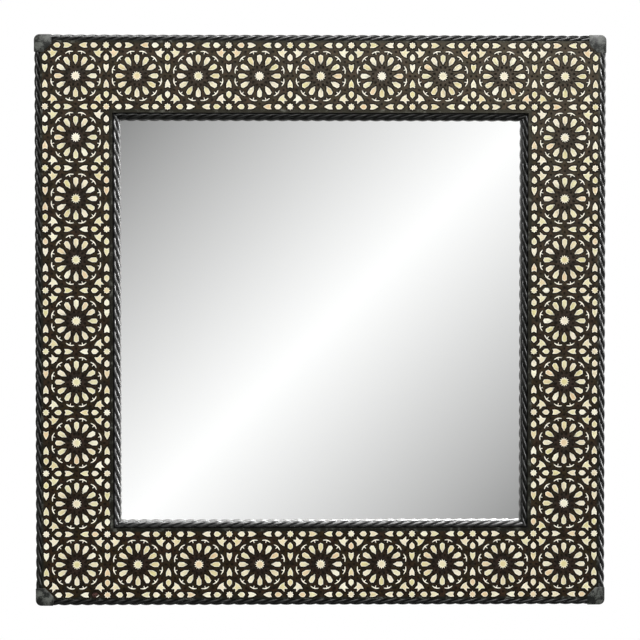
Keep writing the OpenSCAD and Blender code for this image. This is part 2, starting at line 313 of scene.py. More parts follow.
def grown(points, by):
    """The outline moved outwards, with its sharp corners cut short."""
    # A corner that turns by more than this cosine is cut, this share of the width past it
    sharp, reach = 0.2, 0.5
    made = []
    for i, here in enumerate(points):
        before, after = Vector(points[i - 1]), Vector(points[(i + 1) % len(points)])
        here = Vector(here)
        a, b = (here - before).normalized(), (after - here).normalized()
        out_a, out_b = Vector((a.y, -a.x)), Vector((b.y, -b.x))
        turn = a.dot(b)
        if a.x * b.y - a.y * b.x > 0 and turn < sharp:
            made.append(tuple(here + by * (out_a + reach * a)))
            made.append(tuple(here + by * (out_b - reach * b)))
        else:
            made.append(tuple(here + by * (out_a + out_b) / (1 + turn)))
    return made


# Modelling steps that several pieces share

def leave_edit():
    """Back to object mode."""
    bpy.ops.object.mode_set(mode="OBJECT")


def deselect():
    """Leaves edit mode and selects nothing."""
    if bpy.context.object and bpy.context.object.mode != "OBJECT":
        leave_edit()
    bpy.ops.object.select_all(action="DESELECT")


def choose(*objects):
    """Selects only these objects and makes the first one active."""
    deselect()
    for o in objects:
        o.select_set(True)
    bpy.context.view_layer.objects.active = objects[0]
    return objects[0]


def added(name):
    """The object that was added last, with this name."""
    bpy.context.object.name = name
    return bpy.context.object


def edit(piece):
    """Opens a piece in edit mode with everything selected."""
    choose(piece)
    bpy.ops.object.mode_set(mode="EDIT")
    bpy.ops.mesh.select_all(action="SELECT")


def select_faces(piece, test):
    """Selects the faces whose middle and normal pass the test, and stays in edit mode."""
    bpy.ops.object.mode_set(mode="EDIT")
    bpy.ops.mesh.select_mode(type="FACE")
    bpy.ops.mesh.select_all(action="DESELECT")
    leave_edit()
    for face in piece.data.polygons:
        face.select = test(face.center, face.normal)
    bpy.ops.object.mode_set(mode="EDIT")


def cut_ring(name, outline, depth, filled=True):
    """A closed outline at one depth, filled with one face or left open."""
    deselect()
    bpy.ops.mesh.primitive_circle_add(
        vertices=len(outline), radius=PITCH, fill_type="NGON" if filled else "NOTHING")
    piece = added(name)
    piece.data.name = name
    for point, (x, z) in zip(piece.data.vertices, outline):
        point.co = (x, depth, z)
    return piece


def plate(name, outline, front, back):
    """A flat plate with this outline between two depths."""
    piece = cut_ring(name, outline, front)
    edit(piece)
    bpy.ops.mesh.extrude_region_move(TRANSFORM_OT_translate={"value": (0, back - front, 0)})
    bpy.ops.mesh.select_all(action="SELECT")
    bpy.ops.mesh.normals_make_consistent(inside=False)
    leave_edit()
    return piece


def shift(piece, place):
    """Moves a piece's mesh to a place given as x, z and angle."""
    x, z, angle = place
    piece.data.transform(Matrix.Translation((x, 0, z)) @ Matrix.Rotation(-angle, 4, "Y"))
    return piece


def drop(piece):
    """Removes an object and its mesh."""
    mesh = piece.data
    bpy.data.objects.remove(piece)
    bpy.data.meshes.remove(mesh)


def copies(master, places):
    """A copy with its own mesh at each place, instead of the master."""
    made = []
    for place in places:
        copy = master.copy()
        copy.data = master.data.copy()
        bpy.context.collection.objects.link(copy)
        made.append(shift(copy, place))
    drop(master)
    return made


def joined(name, objects):
    """Joins objects into the first one and names it."""
    piece = choose(*objects)
    if len(objects) > 1:
        bpy.ops.object.join()
    piece.name = piece.data.name = name
    return piece


def apply_modifiers(piece):
    """Applies a piece's modifiers in order."""
    choose(piece)
    for modifier in list(piece.modifiers):
        bpy.ops.object.modifier_apply(modifier=modifier.name)


def cut_away(piece, tool):
    """Takes the tool's shape out of a piece, and removes the tool."""
    cut = piece.modifiers.new("Cut", "BOOLEAN")
    cut.operation = "DIFFERENCE"
    cut.solver = "MANIFOLD"
    cut.object = tool
    apply_modifiers(piece)
    drop(tool)


def smooth(piece, degrees):
    """Smooth shading, with edges sharper than this left crisp."""
    choose(piece)
    bpy.ops.object.shade_smooth_by_angle(angle=math.radians(degrees))


def ease_edges(piece, width, segments, degrees):
    """A modifier that bevels the edges that are sharper than this."""
    bevel = piece.modifiers.new("Eased edges", "BEVEL")
    bevel.width = width
    bevel.segments = segments
    bevel.limit_method = "ANGLE"
    bevel.angle_limit = math.radians(degrees)
    return bevel


def mark(piece, name, values):
    """Stores a value for each point of a mesh."""
    piece.data.attributes.new(name, "FLOAT", "POINT").data.foreach_set("value", values)


def break_edge(piece, width):
    """Bevels the edges of a plate's front."""
    select_faces(piece, lambda middle, normal: normal.y < -0.9)
    bpy.ops.mesh.bevel(offset=width, segments=1, affect="EDGES")


def paint(piece, *materials):
    """Gives a piece its materials in slot order."""
    piece.data.materials.clear()
    for material in materials:
        piece.data.materials.append(material)


def seat(piece, body, slot, *nodes):
    """Lets a piece ride on a body and stand for its CAD nodes. The slot is not used."""
    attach(piece, body)
    if nodes:
        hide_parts(*nodes)


# Shader nodes

class Nodes:
    """One shader tree, and the nodes that are added to it."""

    def __init__(self, tree):
        self.tree = tree

    def link(self, value, socket):
        """Feeds one socket to another."""
        self.tree.links.new(value, socket)

    def add(self, kind, inputs, **settings):
        """Outputs of a node with its settings, its input values and the sockets that feed it."""
        node = self.tree.nodes.new(f"ShaderNode{kind}")
        for name, value in settings.items():
            setattr(node, name, value)
        for name, value in inputs.items():
            if isinstance(value, bpy.types.NodeSocket):
                self.link(value, node.inputs[name])
            else:
                node.inputs[name].default_value = value
        return node.outputs

    def math(self, operation, a, b=0.0, c=0.0):
        """Result of one sum."""
        return self.add("Math", {0: a, 1: b, 2: c}, operation=operation)[0]

    def mix(self, share, a, b):
        """Colour between a and b."""
        return self.add("Mix", {0: share, 6: a, 7: b}, data_type="RGBA")[2]

    def between(self, share, a, b):
        """Value between a and b."""
        return self.add("Mix", {0: share, 2: a, 3: b})[0]

    def span(self, value, low, high, to_low=0.0, to_high=1.0, curve="LINEAR"):
        """Value moved from one range to another."""
        ends = {"From Min": low, "From Max": high, "To Min": to_low, "To Max": to_high}
        return self.add("MapRange", {"Value": value, **ends}, interpolation_type=curve)[0]

    def noise(self, vector, scale, detail, roughness):
        """Noise value at this scale."""
        return self.add("TexNoise", {"Vector": vector, "Scale": scale, "Detail": detail,
                                     "Roughness": roughness})["Fac"]

    def group(self, name, vector, **values):
        """Outputs of a shared node group, which is built when it is first asked for."""
        makers = {"Mottle": mottle_group, "Grain": grain_group, "Tile": tile_group}
        tree = bpy.data.node_groups.get(name) or makers[name]()
        return self.add("Group", {"Vector": vector, **values}, node_tree=tree)


def new_group(name, outputs, **values):
    """Nodes of a new group with a vector and these values as inputs, and its two ends."""
    tree = bpy.data.node_groups.new(name, "ShaderNodeTree")
    tree.interface.new_socket("Vector", in_out="INPUT", socket_type="NodeSocketVector")
    for label, value in values.items():
        socket = tree.interface.new_socket(label, in_out="INPUT", socket_type="NodeSocketFloat")
        socket.default_value = value
    for label in outputs:
        tree.interface.new_socket(label, in_out="OUTPUT", socket_type="NodeSocketFloat")
    start, end = tree.nodes.new("NodeGroupInput"), tree.nodes.new("NodeGroupOutput")
    return Nodes(tree), start.outputs, end.inputs


def mottle_group():
    """Blotches with soft edges and a fine speckle, for rubbed paint, stain and tarnish."""
    nodes, start, end = new_group("Mottle", ("Mask", "Speckle"), Scale=40.0, Low=0.45, High=0.65)
    coarse = nodes.noise(start["Vector"], start["Scale"], 4.0, 0.6)
    fine = nodes.noise(start["Vector"], nodes.math("MULTIPLY", start["Scale"], 11.0), 2.0, 0.6)
    both = nodes.math("MULTIPLY_ADD", fine, 0.35, nodes.math("MULTIPLY", coarse, 0.75))
    nodes.link(nodes.span(both, start["Low"], start["High"], curve="SMOOTHSTEP"), end["Mask"])
    nodes.link(fine, end["Speckle"])
    return nodes.tree


def grain_group():
    """Wood grain: long streaks and short dark pores along the vector's X."""
    nodes, start, end = new_group("Grain", ("Streaks", "Pores"), Scale=120.0)
    stretched = nodes.add("VectorMath", {0: start["Vector"], 1: (0.06, 1.0, 1.0)},
                          operation="MULTIPLY")[0]
    pores = nodes.noise(stretched, nodes.math("MULTIPLY", start["Scale"], 9.0), 2.0, 0.5)
    nodes.link(nodes.noise(stretched, start["Scale"], 5.0, 0.6), end["Streaks"])
    nodes.link(nodes.span(pores, 0.36, 0.5), end["Pores"])
    return nodes.tree


def tile_group():
    """Distance from the nearest rosette's middle, and from the frame's middle, both in tiles."""
    nodes, start, end = new_group("Tile", ("From hub", "From middle"))
    parts = nodes.add("SeparateXYZ", {0: start["Vector"]})
    squares, reaches = [], []
    for axis in "XZ":
        shares = nodes.math("DIVIDE", parts[axis], PITCH)
        offset = nodes.math("SUBTRACT", shares, nodes.math("ROUND", shares))
        squares.append(nodes.math("MULTIPLY", offset, offset))
        reaches.append(nodes.math("ABSOLUTE", shares))
    nodes.link(nodes.math("SQRT", nodes.math("ADD", *squares)), end["From hub"])
    nodes.link(nodes.math("MAXIMUM", *reaches), end["From middle"])
    return nodes.tree


class Finish(Nodes):
    """A new Principled material, and the nodes that are added to it."""

    def __init__(self, name, roughness=0.5, specular=0.5, metallic=0.0):
        self.material = bpy.data.materials.new(name)
        self.material.use_nodes = True
        super().__init__(self.material.node_tree)
        self.shader = self.tree.nodes["Principled BSDF"].inputs
        self.shader["Roughness"].default_value = roughness
        self.shader["Specular IOR Level"].default_value = specular
        self.shader["Metallic"].default_value = metallic
        self.where = self.add("TexCoord", {})["Object"]

    def mottle(self, scale, low, high, where=None):
        """Mask and speckle of blotches at this scale."""
        vector = self.where if where is None else where
        return self.group("Mottle", vector, Scale=scale, Low=low, High=high)

    def attribute(self, name):
        """A value that is stored on the mesh."""
        return self.add("Attribute", {}, attribute_name=name)["Fac"]

    def finished(self, colour, roughness=None, height=None, strength=0.5, depth=0.1):
        """The material, with what feeds its shader, and with the bump's depth in mm."""
        self.link(colour, self.shader["Base Color"])
        if roughness is not None:
            self.link(roughness, self.shader["Roughness"])
        if height is not None:
            bump = self.add(
                "Bump", {"Height": height, "Strength": strength, "Distance": depth * MM})
            self.link(bump[0], self.shader["Normal"])
        return self.material


# Materials

def black_paint_nodes(m, wear):
    """Colour, roughness and speckle of the greenish black paint, rubbed by so much."""
    colours = bpy.context.scene.finish_colours
    patches = m.mottle(115.0, 0.55 - wear, 0.69 - wear)
    colour = m.mix(patches["Mask"], colours.black, colours.worn)
    return colour, m.span(patches["Mask"], 0, 1, 0.34, 0.55), patches["Speckle"]


def black_paint():
    """Rubbed greenish black paint of the corner blocks."""
    m = Finish("rubbed black paint", specular=0.12)
    return m.finished(*black_paint_nodes(m, 0.045), 0.5, 0.12)


def lattice_wood():
    """Stained lattice, purplish in the hubs, with the black paint on its margins."""
    colours = bpy.context.scene.finish_colours
    m = Finish("stained lattice", specular=0.1)
    m.shader["Specular Tint"].default_value = (1, 0.9, 0.68, 1)
    tile = m.group("Tile", m.where)
    stain = m.mottle(75.0, 0.46, 0.62)
    elsewhere = m.add("VectorMath", {0: m.where, 1: (0.31, 0.17, 0.23)}, operation="ADD")[0]
    tarnish = m.mottle(120.0, 0.52, 0.66, elsewhere)
    wear = m.mottle(190.0, 0.44, 0.62)
    grain = m.group("Grain", m.where, Scale=260.0)
    strap = m.mix(stain["Mask"], colours.strap_olive, colours.strap_brown)
    in_hub = m.span(tile["From hub"], 0.1, 0.24, 0.8, 0, "SMOOTHSTEP")
    strap = m.mix(in_hub, strap, colours.hub)
    strap = m.mix(m.span(tarnish["Mask"], 0, 1, 0, 0.8), strap, colours.tarnish)
    strap = m.mix(m.span(wear["Mask"], 0, 1, 0.75, 0), strap, PORE_BLACK)
    strap = m.mix(m.span(grain["Pores"], 0, 1, 0.35, 0), strap, PORE_BLACK)
    paint_colour, paint_roughness, speckle = black_paint_nodes(m, -0.025)
    # The paint starts a little way outside the tiles, along a wavering line
    wobble = m.math("MULTIPLY_ADD", stain["Speckle"], 0.05, -0.025)
    reach = m.math("ADD", tile["From middle"], wobble)
    outside = m.span(reach, TILES / 2 + 0.028, TILES / 2 + 0.05, curve="SMOOTHSTEP")
    inside = m.span(reach, TILES / 2 - 1.028, TILES / 2 - 1.05, curve="SMOOTHSTEP")
    margin = m.math("MAXIMUM", outside, inside)
    roughness = m.between(margin, m.span(wear["Mask"], 0, 1, 0.32, 0.46), paint_roughness)
    height = m.math("MULTIPLY_ADD", speckle, 0.6, grain["Streaks"])
    return m.finished(m.mix(margin, strap, paint_colour), roughness, height)


def gritty(name, roughness, specular, blotches, dark, light, strength=0.6, depth=0.1):
    """A dull finish in two tones, with blotches given as scale, low and high."""
    m = Finish(name, roughness, specular)
    grit = m.mottle(*blotches)
    return m.finished(m.mix(grit["Mask"], dark, light), None, grit["Speckle"], strength, depth)


def mastic():
    """Black mastic in the lines round the inlay."""
    line = bpy.context.scene.finish_colours.line
    return gritty("black mastic", 0.7, 0.02, (400.0, 0.4, 0.7), line, (0.012, 0.008, 0.004, 1))


def old_glue():
    """Reddish brown glue left in an empty pocket."""
    return gritty("old glue", 0.6, 0.04, (420.0, 0.46, 0.64), (0.014, 0.0075, 0.006, 1),
                  (0.09, 0.043, 0.035, 1), 0.7)


def rubber():
    """Matt black rubber with dust."""
    return gritty("black rubber", 0.75, 0.3, (160.0, 0.48, 0.8), (0.012, 0.012, 0.012, 1),
                  (0.05, 0.048, 0.045, 1), 0.6, 0.08)


def bone():
    """Polished bone and shell: the piece's own tone, with faint growth lines and clouds, and paler
    along its edge as a painted highlight.
    """
    m = Finish("polished bone", 0.3, 0.04)
    clouds = m.mottle(150.0, 0.3, 0.8)
    cloud = m.span(clouds["Mask"], 0, 1, -0.09, 0.09)
    ramp = m.tree.nodes.new("ShaderNodeValToRGB")
    m.link(m.math("ADD", m.attribute("tone"), cloud), ramp.inputs["Fac"])
    while len(ramp.color_ramp.elements) < len(BONE_TONES):
        ramp.color_ramp.elements.new(0.5)
    for element, (spot, *colour) in zip(ramp.color_ramp.elements, BONE_TONES):
        element.position = spot
        element.color = (*colour, 1)
    lines = m.add("TexWave",
                  {"Vector": m.where, "Scale": 420.0, "Distortion": 9.0, "Detail": 2.0,
                   "Detail Scale": 1.5}, wave_type="BANDS", bands_direction="DIAGONAL")["Fac"]
    colour = m.mix(m.span(lines, 0, 1, 0, 0.1), ramp.outputs["Color"], (0.6, 0.52, 0.3, 1))
    # Paler towards the edge of each piece: a painted highlight
    rim = m.math("MULTIPLY", m.attribute("rim"), 0.8)
    roughness = m.span(clouds["Speckle"], 0.2, 0.8, 0.22, 0.42)
    return m.finished(m.mix(rim, colour, (0.97, 0.92, 0.79, 1)), roughness, lines, 0.25, 0.03)


def rope_black(name, specular, smoothest, roughest):
    """Carved rope: grey on the crests and black in the grooves, partly rubbed paint and partly
    painted highlight and shade.
    """
    colours = bpy.context.scene.finish_colours
    m = Finish(name, specular=specular)
    rub = m.mottle(90.0, 0.4, 0.66)
    # Greyer towards each strand's crest and black in the grooves: partly rubbed paint, partly
    # painted highlight and shade
    worn = m.math("MULTIPLY", m.span(m.attribute("crest"), 0.35, 0.9, curve="SMOOTHSTEP"),
                  m.span(rub["Mask"], 0, 1, 0.35, 1))
    roughness = m.span(rub["Mask"], 0, 1, smoothest, roughest)
    return m.finished(m.mix(worn, colours.rope, colours.rope_crest_rub_and_highlight), roughness, rub["Speckle"],
                      0.5, 0.15)


def wood(name, dark, light, scale, upright=False):
    """Wood with its grain across the frame or up it."""
    m = Finish(name, specular=0.35)
    turn = (0, math.radians(90) if upright else 0, 0)
    along_grain = m.add("Mapping", {"Vector": m.where, "Rotation": turn})[0]
    grain = m.group("Grain", along_grain, Scale=scale)
    share = m.math("MULTIPLY_ADD", m.mottle(18.0, 0.3, 0.8)["Mask"], 0.25,
                   m.span(grain["Streaks"], 0.3, 0.7, 0, 0.75))
    colour = m.mix(m.span(grain["Pores"], 0, 1, 0.45, 0), m.mix(share, dark, light), PORE_BLACK)
    roughness = m.span(grain["Streaks"], 0.3, 0.7, 0.42, 0.6)
    return m.finished(colour, roughness, grain["Streaks"], 0.5, 0.15)


def ebonised(upright):
    """Ebonised hardwood of the rails."""
    name = "ebonised wood, upright" if upright else "ebonised wood, level"
    return wood(name, (0.012, 0.010, 0.009, 1), (0.034, 0.028, 0.024, 1), 110.0, upright)


def pressed_board(name, dark, light, scale, roughness):
    """Hardboard or card: matted fibres with flecks."""
    m = Finish(name, roughness, 0.25)
    mat = m.mottle(scale, 0.3, 0.75)
    flecks = m.add("TexVoronoi", {"Vector": m.where, "Scale": scale * 9})["Distance"]
    colour = m.mix(m.span(flecks, 0.08, 0.3, 0.3, 0), m.mix(mat["Mask"], dark, light), dark)
    uneven = m.span(mat["Speckle"], 0.2, 0.8, roughness - 0.08, roughness + 0.08)
    return m.finished(colour, uneven, flecks, 0.3)


def plated(name, colour, dull):
    """Plated steel with a little tarnish and fine rolling marks."""
    m = Finish(name, 0.3, 0.5, 1.0)
    tarnish = m.mottle(130.0, 0.42, 0.72)["Mask"]
    marks = m.group("Grain", m.where, Scale=900.0)["Streaks"]
    roughness = m.span(tarnish, 0, 1, 0.22, 0.45)
    return m.finished(m.mix(tarnish, colour, dull), roughness, marks, 0.25, 0.04)


def silvered_glass():
    """Silvered front and painted back of the mirror, with green glass at its edges."""
    m = Finish("silvered glass", 0.02, 0.5, 1.0)
    normal = m.add("TexCoord", {})["Normal"]
    facing = m.add("SeparateXYZ", {0: normal})["Y"]
    front = m.span(facing, -0.9, -0.8, 1, 0)
    back = m.span(facing, 0.8, 0.9, 0, 1)
    haze = m.mottle(6.0, 0.35, 0.8)["Mask"]
    silver = m.mix(m.span(haze, 0, 1, 0, 0.25), (0.965, 0.972, 0.968, 1),
                   (0.945, 0.955, 0.95, 1))
    edge_or_back = m.mix(back, (0.16, 0.34, 0.27, 1), (0.13, 0.12, 0.11, 1))
    m.link(front, m.shader["Metallic"])
    roughness = m.between(front, m.span(back, 0, 1, 0.15, 0.6), m.span(haze, 0, 1, 0.012, 0.03))
    return m.finished(m.mix(front, edge_or_back, silver), roughness)


# Operators, one for each piece or group of like pieces

def strip_outline(k):
    """Outline of side k's fretwork strip, drawn with that side on top."""
    if k % 2:
        return [(-JOINT, FRET_INSIDE), (JOINT, FRET_INSIDE), (JOINT, FRET_REACH),
                (-JOINT, FRET_REACH)]
    end = HALF - BLOCK_END
    right = [(FRET_REACH, JOINT), (FRET_REACH, ROPE_END), (end, ROPE_END), (ROPE_END, end),
             (ROPE_END, FRET_REACH)]
    left = [(-x, z) for x, z in reversed(right)]
    tongue = [(-FRET_INSIDE, JOINT), (-FRET_INSIDE, FRET_INSIDE), (FRET_INSIDE, FRET_INSIDE),
              (FRET_INSIDE, JOINT)]
    return tongue + right + left


def pockets(k):
    """Every kind of pocket on side k, as its outline and places."""
    sizes = bpy.context.scene.pattern_sizes
    line = sizes.line_width
    dot = [(1.3 * x, z) for x, z in disc(sizes.pit_radius, 8)]
    return (
        (disc(HUB_POCKET * PITCH, 24), round_tiles(k, 1)),
        (dot, round_tiles(k, 12, 15, HUB_DOTS_AT)),
        (grown(whole(PETAL), line), round_tiles(k, 12)),
        (whole(SLIVER_POCKET), round_tiles(k, 12, 15)),
        (disc(sizes.pit_radius, 8), round_tiles(k, 12, 0, PITS_AT)),
        (grown(whole(TULIP), line), round_tiles(k, 4, 45)),
        (grown(whole(DART), line), edge_places(k)),
        (grown(whole(BEAD), line), edge_places(k)),
        (disc(STAR_TIPS * PITCH + line, 16), corner_places(k)),
    )


class MIRROR_OT_fretwork(bpy.types.Operator):
    """Cut the four strips of lattice, and sink a pocket for every inlay piece"""

    bl_idname = "mirror.fretwork"
    bl_label = "Fretwork"

    def execute(self, context):
        finishes = lattice_wood(), mastic()
        line_depth = context.scene.pattern_sizes.line_depth
        for k, side in enumerate(SIDES):
            strip = plate(f"fretwork_{side}_carved", strip_outline(k), FACE, PANEL_BACK)
            shift(strip, QUARTER_TURNS[k])
            paint(strip, *finishes)
            cutters = []
            for outline, places in pockets(k):
                cutter = plate("pocket", outline, FACE - MM, FACE + line_depth)
                paint(cutter, *finishes)
                for face in cutter.data.polygons:
                    face.material_index = 1
                cutters += copies(cutter, places)
            cut_away(strip, joined("pockets", cutters))
            seat(strip, "root", "fretwork", f"fretwork_{side}")
        return {"FINISHED"}


def is_lost(place):
    """Is this the bead that has fallen out, left of the lower left tile's bottom edge?"""
    x, z, angle = place
    gap = math.hypot(x - along(0), z - along(-0.5))
    return gap < MM and math.cos(angle) > 0.5


class MIRROR_OT_lost_bead(bpy.types.Operator):
    """Leave old glue and a chip of bone in the pocket whose bead is missing"""

    bl_idname = "mirror.lost_bead"
    bl_label = "Lost bead"

    def execute(self, context):
        depth = context.scene.pattern_sizes.line_depth
        glue = self.piece("lost_bead_glue", whole(BEAD), depth - 0.12 * MM, depth, old_glue())
        chip = self.piece("lost_bead_chip", [(PITCH * u, PITCH * v) for u, v in CHIP], depth / 4,
                          depth, bpy.data.materials["polished bone"])
        # The chip is paler all over, as a painted highlight
        for name, value in (("tone", 0.9), ("rim", 1.0)):
            mark(chip, name, [value] * len(chip.data.vertices))
        seat(glue, "root", "inlay")
        seat(chip, "root", "inlay")
        return {"FINISHED"}

    @staticmethod
    def piece(name, outline, top, floor, material):
        """A thin piece in the lost bead's pocket, between two depths, with its edge broken."""
        piece = plate(name, outline, FACE + top, FACE + floor)
        break_edge(piece, 0.06 * MM)
        leave_edit()
        paint(piece, material)
        return shift(piece, next(place for place in edge_places(None) if is_lost(place)))


class MIRROR_OT_inlay(bpy.types.Operator):
    """Cut the inlay pieces, polish their edges and lay one in every pocket"""

    bl_idname = "mirror.inlay"
    bl_label = "Inlay"

    def execute(self, context):
        draws = random.Random(context.scene.pattern_sizes.seed)
        finish = bone()
        kinds = (
            ("rosette_centres", star(HUB_TIPS, HUB_NOTCHES, 12), round_tiles(None, 1), 0.05),
            ("petals", whole(PETAL), round_tiles(None, 12), 0.0),
            ("slivers", whole(SLIVER), round_tiles(None, 12, 15), 0.7),
            ("tulips", whole(TULIP), round_tiles(None, 4, 45), 0.0),
            ("darts", whole(DART), edge_places(None), 0.0),
            ("beads", whole(BEAD), edge_places(None), 0.0),
            ("corner_stars", star(STAR_TIPS, STAR_NOTCHES, 8), corner_places(None), 0.0),
        )
        for name, outline, places, paler in kinds:
            if name == "beads":
                places = [place for place in places if not is_lost(place)]
            pieces = copies(self.cut(name, outline, context.scene.pattern_sizes), places)
            for piece in pieces:
                tone = min(1.0, self.tone(draws) + paler)
                mark(piece, "tone", [tone] * len(piece.data.vertices))
            group = joined(f"inlay_{name}_polished", pieces)
            paint(group, finish)
            nodes = [f"inlay_{name}"] if name != "slivers" else []
            seat(group, "root", "inlay", *nodes)
        return {"FINISHED"}

    @staticmethod
    def tone(draws):
        """Most pieces are cream, some are nearly white and a few are peach or tan."""
        if draws.random() < 0.1:
            return draws.uniform(0.02, 0.2)
        return min(1.0, max(0.2, draws.gauss(0.6, 0.2)))

    @staticmethod
    def cut(name, outline, sizes):
        """One piece, standing on the pocket's floor, with its upper edge worn round."""
        piece = plate(name, outline, FACE, FACE + sizes.line_depth)
        break_edge(piece, sizes.polished_edge)
        # The rim left round the inset gets a painted highlight; a sliver gets it all over
        inset = name != "slivers"
        if inset:
            front = FACE + 0.01 * MM
            select_faces(piece, lambda middle, normal: middle.y < front)
            bpy.ops.mesh.inset(thickness=sizes.painted_rim_highlight)
        leave_edit()
        mark(piece, "rim", [float(not (inset and point.select)) for point in piece.data.vertices])
        return piece


class MIRROR_OT_ropes(bpy.types.Operator):
    """Twist the rope mouldings, plane their seats and cut their ends"""

    bl_idname = "mirror.ropes"
    bl_label = "Rope mouldings"

    def execute(self, context):
        # The rubbed and polished copies are glossier, as painted sheen; the plain and dull copies
        # are duller, as painted shade
        rubbed = rope_black("rope, rubbed", 0.14, 0.2, 0.34)
        polished = rope_black("rope, polished", 0.24, 0.26, 0.4)
        plain = rope_black("rope, plain", 0.055, 0.26, 0.4)
        dull = rope_black("rope, dull", 0.025, 0.24, 0.4)
        # Each kind has its height, a finish for each side, and cuts as a point and the way to what
        # is cut off.
        # The finishes are lit and shaded copies of one rope: painted sheen on the lengths that
        # face up or to the right, painted shade on those that face down or to the left
        kinds = {
            "outer": (HALF - ROPE_R, (rubbed, plain, plain, rubbed),
                      (((ROPE_END, 0, 0), (1, 0, 0)), ((-ROPE_END, 0, 0), (-1, 0, 0)),
                       ((0, 0, FRET_REACH), (0, 0, -1)))),
            "inner": (INNER_ROPE_Z, (dull, polished, polished, plain),
                      (((0, LIP_FACE, 0), (0, 1, 0)), ((0, 0, 0), (1, 0, -1)),
                       ((0, 0, 0), (-1, 0, -1)))),
        }
        for k, side in enumerate(SIDES):
            for kind, (z, finishes, cuts) in kinds.items():
                rope = self.twist(context.scene.rope_sizes, 2 * HALF, ROPE_STARTS[kind][k] * MM)
                rope.data.transform(Matrix.Translation((0, ROPE_Y, z)))
                for point, direction in cuts:
                    edit(rope)
                    bpy.ops.mesh.bisect(
                        plane_co=point, plane_no=direction, use_fill=True, clear_outer=True)
                    leave_edit()
                self.mark_crests(rope, z)
                smooth(rope, 48)
                shift(rope, QUARTER_TURNS[k])
                rope.name = rope.data.name = f"{kind}_rope_{side}_twisted"
                paint(rope, finishes[k])
                seat(rope, "root", "rope", f"{kind}_rope_{side}")
        return {"FINISHED"}

    @staticmethod
    def section(sizes):
        """Section of the rope: one arc for each strand."""
        apart = ROPE_R - sizes.strand_radius
        half_turn = math.pi / sizes.strands
        groove = apart * math.cos(half_turn) + math.sqrt(
            sizes.strand_radius ** 2 - (apart * math.sin(half_turn)) ** 2)
        x, y = turned(groove, 0, half_turn)
        reach = math.atan2(y, x - apart)
        points = []
        for strand in range(sizes.strands):
            turn = 2 * half_turn * strand
            for i in range(ARC_POINTS):
                x, y = turned(sizes.strand_radius, 0, reach * (2 * i / ARC_POINTS - 1))
                points.append(turned(apart + x, y, turn))
        return points

    def twist(self, sizes, length, start):
        """A rope along x, laid to the left, with its strands moved along it by start."""
        rope = cut_ring("rope", self.section(sizes), 0, filled=False)
        rope.data.transform(Matrix.Rotation(math.radians(-90), 4, "X"))
        rope.data.transform(Matrix.Rotation(2 * math.pi * start / sizes.lead, 4, "Z"))
        turns = math.ceil(length / sizes.lead) + 1
        screw = rope.modifiers.new("Lay", "SCREW")
        screw.axis = "Z"
        screw.angle = -2 * math.pi
        screw.screw_offset = sizes.lead
        screw.iterations = turns
        screw.steps = screw.render_steps = TURN_SECTIONS
        screw.use_normal_calculate = True
        apply_modifiers(rope)
        rope.data.transform(Matrix.Translation((0, 0, -turns * sizes.lead / 2)))
        rope.data.transform(Matrix.Rotation(math.radians(90), 4, "Y"))
        edit(rope)
        bpy.ops.mesh.remove_doubles(threshold=0.01 * MM)
        bpy.ops.mesh.normals_make_consistent(inside=False)
        leave_edit()
        return rope

    @staticmethod
    def mark_crests(rope, z):
        """Writes each point's distance from the rope's middle, as a share of its radius."""
        shares = [math.hypot(p.co.y - ROPE_Y, p.co.z - z) / ROPE_R for p in rope.data.vertices]
        low = min(shares)
        mark(rope, "crest", [(s - low) / (1 - low) for s in shares])


class MIRROR_OT_corner_blocks(bpy.types.Operator):
    """Shape the four plain blocks over the frame's corners"""

    bl_idname = "mirror.corner_blocks"
    bl_label = "Corner blocks"

    def execute(self, context):
        low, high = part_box("corner_blocks")
        radius, worn, rope_gap = 7.5 * MM, 0.9 * MM, 0.1 * MM
        reach = HALF - ROPE_END - rope_gap
        steps = [math.radians(180 + 15 * i) for i in range(7)]
        arc = [(radius + radius * math.cos(a), radius + radius * math.sin(a)) for a in steps]
        shape = arc + [(reach, 0), (reach, BLOCK_END), (BLOCK_END, reach), (0, reach)]
        block = plate("block", [(x - HALF, z - HALF) for x, z in shape], low.y, high.y)
        # The step that fits over the rails and the fretwork
        near, far = -FRET_REACH, 2 * reach - FRET_REACH
        square = [(near, near), (far, near), (far, far), (near, far)]
        cut_away(block, plate("step", square, PANEL_BACK, PANEL_BACK + 2 * reach))
        ease_edges(block, worn, 3, 35)
        apply_modifiers(block)
        piece = joined("corner_blocks_worn", copies(block, QUARTER_TURNS))
        smooth(piece, 40)
        paint(piece, black_paint())
        seat(piece, "root", "corner_block", "corner_blocks")
        return {"FINISHED"}


class MIRROR_OT_glass(bpy.types.Operator):
    """Silver the mirror glass"""

    bl_idname = "mirror.glass"
    bl_label = "Mirror glass"

    def execute(self, context):
        paint(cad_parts["mirror_glass"], silvered_glass())
        return {"FINISHED"}


def dressed(node, material, body, slot, width=0.0, degrees=40.0):
    """A merged copy of a CAD part with its edges eased and its round walls smooth."""
    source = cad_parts[node]
    piece = source.copy()
    piece.data = source.data.copy()
    piece.parent = None
    for key in list(piece.keys()):
        del piece[key]
    piece.name = piece.data.name = f"{node}_finished"
    bpy.context.collection.objects.link(piece)
    edit(piece)
    bpy.ops.mesh.remove_doubles(threshold=0.005 * MM)
    bpy.ops.mesh.dissolve_limited(angle_limit=math.radians(1))
    bpy.ops.mesh.customdata_custom_splitnormals_clear()
    leave_edit()
    smooth(piece, degrees)
    if width:
        ease_edges(piece, width, 2, degrees).harden_normals = True
        apply_modifiers(piece)
    paint(piece, material)
    seat(piece, body, slot, node)
    return piece


